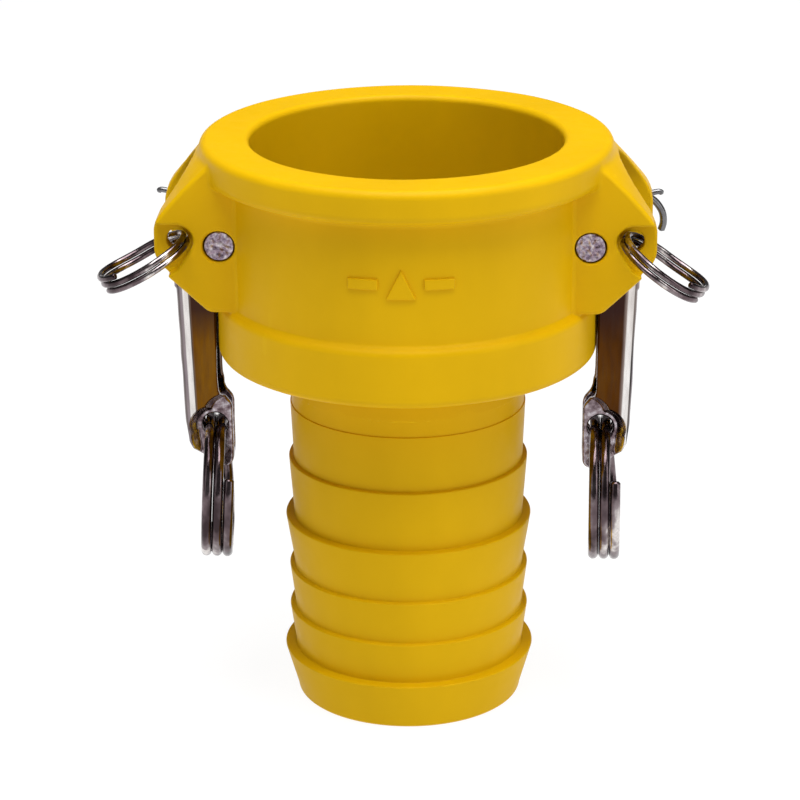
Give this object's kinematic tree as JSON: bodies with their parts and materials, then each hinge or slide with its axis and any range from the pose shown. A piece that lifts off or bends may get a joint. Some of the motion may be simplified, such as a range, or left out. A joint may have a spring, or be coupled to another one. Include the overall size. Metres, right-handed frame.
{
  "type": "camlock coupling",
  "caption": "Female cam-and-groove hose coupling: a round cup with hinged cam arms between lugs, a flat gasket inside, and a barbed hose shank below.",
  "frame": {"origin": "on the coupling's axis at the end face of the hose shank, which is the bottom of the part", "axes": "+Z along the axis from the shank to the mouth of the cup; the arms are at -X (left) and +X (right) and every hinge axis runs along Y; the raised marks and the small safety rings are at the front, -Y"},
  "size_m": [0.1229, 0.0844, 0.1214],
  "materials": {
    "moulded_nylon": "semi-matt moulded glass-filled nylon, yellow",
    "gasket_rubber": "matt black moulded rubber",
    "cast_steel": "tumbled and polished cast stainless",
    "pin_steel": "drawn stainless bar with sheared ends",
    "ring_steel": "bright stainless spring wire",
    "cotter_steel": "dull half-round stainless wire"
  },
  "bodies": {
    "coupler": {"coupler_body": "moulded_nylon", "gasket": "gasket_rubber", "pivot_pin_left": "pin_steel", "pivot_pin_right": "pin_steel", "cotter_pin_left": "cotter_steel", "cotter_pin_right": "cotter_steel"},
    "cam_arm_left": {"cam_arm_left": "cast_steel"},
    "cam_arm_right": {"cam_arm_right": "cast_steel"},
    "pull_ring_left": {"pull_ring_left": "ring_steel"},
    "pull_ring_right": {"pull_ring_right": "ring_steel"},
    "safety_ring_left": {"safety_ring_left": "ring_steel"},
    "safety_ring_right": {"safety_ring_right": "ring_steel"}
  },
  "joints": [
    {"name": "arm_left_hinge", "type": "hinge", "parent": "coupler", "child": "cam_arm_left", "pos_m": [-0.0373, 0, 0.1024], "axis": [0, 1, 0], "range_deg": [0, 95]},
    {"name": "arm_right_hinge", "type": "hinge", "parent": "coupler", "child": "cam_arm_right", "pos_m": [0.0373, 0, 0.1024], "axis": [0, -1, 0], "range_deg": [0, 95]},
    {"name": "pull_ring_left_hinge", "type": "hinge", "parent": "cam_arm_left", "child": "pull_ring_left", "pos_m": [-0.0402, 0, 0.0596], "axis": [0, 1, 0], "range_deg": [-14, 90]},
    {"name": "pull_ring_right_hinge", "type": "hinge", "parent": "cam_arm_right", "child": "pull_ring_right", "pos_m": [0.0402, 0, 0.0596], "axis": [0, -1, 0], "range_deg": [-20, 90]},
    {"name": "safety_ring_left_hinge", "type": "hinge", "parent": "coupler", "child": "safety_ring_left", "pos_m": [-0.0459, 0, 0.103], "axis": [0, 1, 0], "range_deg": [0, 40]},
    {"name": "safety_ring_right_hinge", "type": "hinge", "parent": "coupler", "child": "safety_ring_right", "pos_m": [0.0459, 0, 0.103], "axis": [0, -1, 0], "range_deg": [0, 40]}
  ]
}
